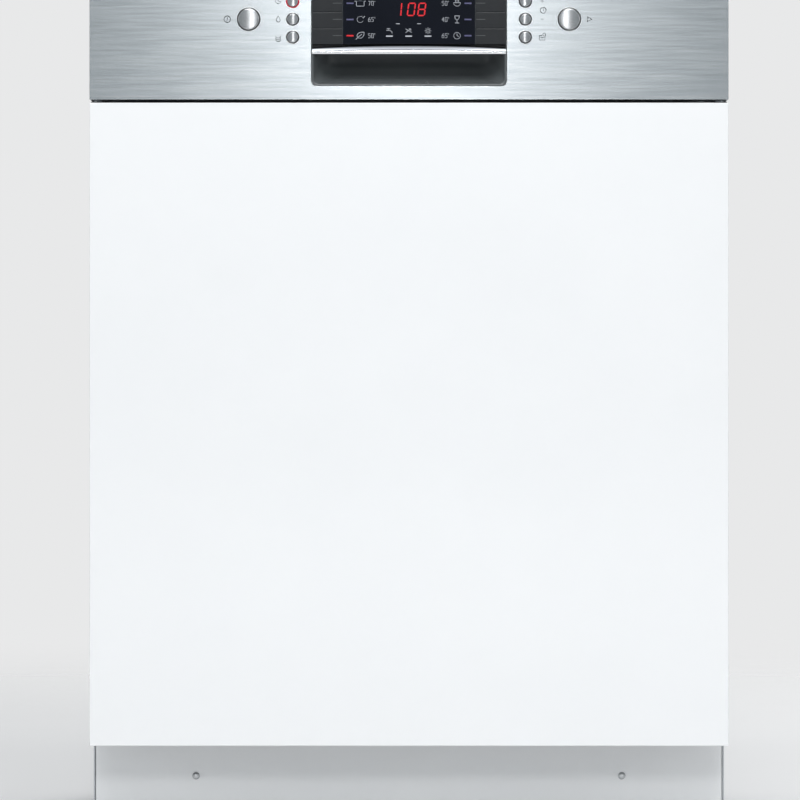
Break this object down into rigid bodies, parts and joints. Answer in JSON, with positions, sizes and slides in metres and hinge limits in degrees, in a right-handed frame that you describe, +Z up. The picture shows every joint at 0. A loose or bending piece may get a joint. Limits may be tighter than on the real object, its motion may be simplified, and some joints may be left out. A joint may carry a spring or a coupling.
{
  "type": "built-in dishwasher",
  "caption": "Semi-integrated built-in dishwasher: steel control fascia with grip recess over a white drop-down front, sliding wire racks and spinning spray arms inside.",
  "frame": {"origin": "on the floor under the middle of the machine, with the feet screwed in", "axes": "+Z up, -Y is the front with the door, +X to the right seen from the front"},
  "size_m": [0.598, 0.573, 0.815],
  "materials": {
    "steel_sheet": "horizontal brushed stainless steel",
    "tub_steel": "satin stainless steel",
    "galvanised": "dull zinc coat on folded sheet",
    "white_front": "smooth matt white lacquer on board",
    "white_metal": "satin white enamel",
    "dark_insert": "polished anthracite moulding",
    "strip_chrome": "polished, slightly soft",
    "display_glass": "gloss smoked window",
    "button_silver": "satin plated",
    "key_grey": "fine matt moulding",
    "grey_plastic": "moulded polypropylene",
    "light_plastic": "moulded polypropylene",
    "black_plastic": "moulded polypropylene",
    "rubber_seal": "soft black profile",
    "rack_coat": "nylon coated wire",
    "steel_part": "pressed steel",
    "board_green": "solder-masked laminate"
  },
  "bodies": {
    "cabinet": {"base_tray": "black_plastic", "kick_plate": "white_metal", "tub": "tub_steel", "tub_seal": "rubber_seal", "side_panel_left": "galvanised", "side_panel_right": "galvanised", "back_panel": "galvanised", "top_cover": "light_plastic", "sump": "grey_plastic", "micro_filter": "tub_steel", "circulation_pump": "light_plastic", "drain_pump": "black_plastic", "softener": "light_plastic", "water_connections": "light_plastic", "feed_pipe": "grey_plastic", "hinge_brackets": "steel_part", "upper_guides": "steel_part", "latch_strike": "steel_part", "door_springs": "steel_part"},
    "door": {"door_outer_panel": "galvanised", "inner_door": "tub_steel", "furniture_panel": "white_front", "control_fascia": "steel_sheet", "grip_shell": "dark_insert", "grip_strip": "strip_chrome", "display_window": "display_glass", "control_board": "board_green", "door_latch": "black_plastic", "dispenser": "light_plastic", "door_hinges": "steel_part"},
    "dispenser_lid": {"dispenser_lid": "grey_plastic"},
    "rinse_aid_cap": {"rinse_aid_cap": "light_plastic"},
    "power_button": {"power_button": "button_silver"},
    "start_button": {"start_button": "button_silver"},
    "upper_rails": {"upper_rails": "steel_part"},
    "upper_rack": {"upper_rack": "rack_coat"},
    "upper_spray_arm": {"upper_spray_arm": "grey_plastic"},
    "lower_rack": {"lower_rack": "rack_coat"},
    "folding_tines": {"folding_tines": "rack_coat"},
    "front_wheels": {"front_wheels": "grey_plastic"},
    "rear_wheels": {"rear_wheels": "grey_plastic"},
    "cutlery_basket": {"cutlery_basket": "grey_plastic"},
    "lower_spray_arm": {"lower_spray_arm": "grey_plastic"},
    "filter_cartridge": {"filter_cartridge": "grey_plastic"},
    "salt_cap": {"salt_cap": "light_plastic"},
    "foot_front_left": {"foot_front_left": "black_plastic"},
    "foot_front_right": {"foot_front_right": "black_plastic"},
    "foot_rear": {"foot_rear": "black_plastic"},
    "option_button_left_1": {"option_button_left_1": "button_silver"},
    "option_button_left_2": {"option_button_left_2": "button_silver"},
    "option_button_left_3": {"option_button_left_3": "button_silver"},
    "option_button_right_1": {"option_button_right_1": "button_silver"},
    "option_button_right_2": {"option_button_right_2": "button_silver"},
    "option_button_right_3": {"option_button_right_3": "button_silver"},
    "program_key_left_1": {"program_key_left_1": "key_grey"},
    "program_key_left_2": {"program_key_left_2": "key_grey"},
    "program_key_left_3": {"program_key_left_3": "key_grey"},
    "program_key_right_1": {"program_key_right_1": "key_grey"},
    "program_key_right_2": {"program_key_right_2": "key_grey"},
    "program_key_right_3": {"program_key_right_3": "key_grey"}
  },
  "joints": [
    {"name": "door_hinge", "type": "hinge", "parent": "cabinet", "child": "door", "pos_m": [0, -0.237, 0.115], "axis": [1, 0, 0], "range_deg": [0, 90], "stiffness_Nm_per_rad": 30, "deforming": ["door_springs"]},
    {"name": "upper_rack_slide", "type": "slide", "parent": "cabinet", "child": "upper_rack", "axis": [0, -1, 0], "range_m": [0, 0.45]},
    {"name": "upper_rail_slide", "type": "slide", "parent": "cabinet", "child": "upper_rails", "axis": [0, -1, 0], "range_m": [0, 0.225]},
    {"name": "lower_rack_slide", "type": "slide", "parent": "cabinet", "child": "lower_rack", "axis": [0, -1, 0], "range_m": [0, 0.16]},
    {"name": "front_wheel_roll", "type": "hinge", "parent": "lower_rack", "child": "front_wheels", "pos_m": [0, -0.06, 0.1475], "axis": [1, 0, 0], "range_deg": [0, 524]},
    {"name": "rear_wheel_roll", "type": "hinge", "parent": "lower_rack", "child": "rear_wheels", "pos_m": [0, 0.15, 0.1475], "axis": [1, 0, 0], "range_deg": [0, 524]},
    {"name": "tine_fold", "type": "hinge", "parent": "lower_rack", "child": "folding_tines", "pos_m": [0, 0.05, 0.1963], "axis": [1, 0, 0], "range_deg": [0, 88]},
    {"name": "basket_lift", "type": "slide", "parent": "lower_rack", "child": "cutlery_basket", "axis": [0, 0, 1], "range_m": [0, 0.1]},
    {"name": "upper_spray_spin", "type": "hinge", "parent": "upper_rack", "child": "upper_spray_arm", "pos_m": [0, 0.024, 0.47], "axis": [0, 0, 1], "continuous": true},
    {"name": "lower_spray_spin", "type": "hinge", "parent": "cabinet", "child": "lower_spray_arm", "pos_m": [0, 0.024, 0.155], "axis": [0, 0, 1], "continuous": true},
    {"name": "filter_twist", "type": "hinge", "parent": "cabinet", "child": "filter_cartridge", "pos_m": [0.065, -0.025, 0.13], "axis": [0, 0, 1], "range_deg": [0, 90]},
    {"name": "salt_cap_twist", "type": "hinge", "parent": "cabinet", "child": "salt_cap", "pos_m": [-0.165, 0, 0.135], "axis": [0, 0, 1], "range_deg": [0, 180]},
    {"name": "foot_front_left_screw", "type": "slide", "parent": "cabinet", "child": "foot_front_left", "axis": [0, 0, -1], "range_m": [0, 0.06]},
    {"name": "foot_front_right_screw", "type": "slide", "parent": "cabinet", "child": "foot_front_right", "axis": [0, 0, -1], "range_m": [0, 0.06]},
    {"name": "foot_rear_screw", "type": "slide", "parent": "cabinet", "child": "foot_rear", "axis": [0, 0, -1], "range_m": [0, 0.06]},
    {"name": "dispenser_lid_slide", "type": "slide", "parent": "door", "child": "dispenser_lid", "axis": [0, 0, 1], "range_m": [0, 0.063]},
    {"name": "rinse_cap_twist", "type": "hinge", "parent": "door", "child": "rinse_aid_cap", "pos_m": [0.05, -0.22, 0.465], "axis": [0, 1, 0], "range_deg": [0, 90]},
    {"name": "power_button_press", "type": "slide", "parent": "door", "child": "power_button", "axis": [0, 1, 0], "range_m": [0, 0.0015], "stiffness_N_per_m": 600},
    {"name": "start_button_press", "type": "slide", "parent": "door", "child": "start_button", "axis": [0, 1, 0], "range_m": [0, 0.0015], "stiffness_N_per_m": 600},
    {"name": "option_left_1_press", "type": "slide", "parent": "door", "child": "option_button_left_1", "axis": [0, 1, 0], "range_m": [0, 0.0015], "stiffness_N_per_m": 500},
    {"name": "option_left_2_press", "type": "slide", "parent": "door", "child": "option_button_left_2", "axis": [0, 1, 0], "range_m": [0, 0.0015], "stiffness_N_per_m": 500},
    {"name": "option_left_3_press", "type": "slide", "parent": "door", "child": "option_button_left_3", "axis": [0, 1, 0], "range_m": [0, 0.0015], "stiffness_N_per_m": 500},
    {"name": "option_right_1_press", "type": "slide", "parent": "door", "child": "option_button_right_1", "axis": [0, 1, 0], "range_m": [0, 0.0015], "stiffness_N_per_m": 500},
    {"name": "option_right_2_press", "type": "slide", "parent": "door", "child": "option_button_right_2", "axis": [0, 1, 0], "range_m": [0, 0.0015], "stiffness_N_per_m": 500},
    {"name": "option_right_3_press", "type": "slide", "parent": "door", "child": "option_button_right_3", "axis": [0, 1, 0], "range_m": [0, 0.0015], "stiffness_N_per_m": 500},
    {"name": "program_left_1_press", "type": "slide", "parent": "door", "child": "program_key_left_1", "axis": [0, 1, 0], "range_m": [0, 0.0012], "stiffness_N_per_m": 500},
    {"name": "program_left_2_press", "type": "slide", "parent": "door", "child": "program_key_left_2", "axis": [0, 1, 0], "range_m": [0, 0.0012], "stiffness_N_per_m": 500},
    {"name": "program_left_3_press", "type": "slide", "parent": "door", "child": "program_key_left_3", "axis": [0, 1, 0], "range_m": [0, 0.0012], "stiffness_N_per_m": 500},
    {"name": "program_right_1_press", "type": "slide", "parent": "door", "child": "program_key_right_1", "axis": [0, 1, 0], "range_m": [0, 0.0012], "stiffness_N_per_m": 500},
    {"name": "program_right_2_press", "type": "slide", "parent": "door", "child": "program_key_right_2", "axis": [0, 1, 0], "range_m": [0, 0.0012], "stiffness_N_per_m": 500},
    {"name": "program_right_3_press", "type": "slide", "parent": "door", "child": "program_key_right_3", "axis": [0, 1, 0], "range_m": [0, 0.0012], "stiffness_N_per_m": 500}
  ],
  "couplings": [
    {"joint": "upper_rack_slide", "follows": "door_hinge", "m_per_rad": 0.2864},
    {"joint": "upper_rail_slide", "follows": "door_hinge", "m_per_rad": 0.1432},
    {"joint": "lower_rack_slide", "follows": "door_hinge", "m_per_rad": 0.1018},
    {"joint": "front_wheel_roll", "follows": "door_hinge", "ratio": 5.8171},
    {"joint": "rear_wheel_roll", "follows": "door_hinge", "ratio": 5.8171}
  ]
}
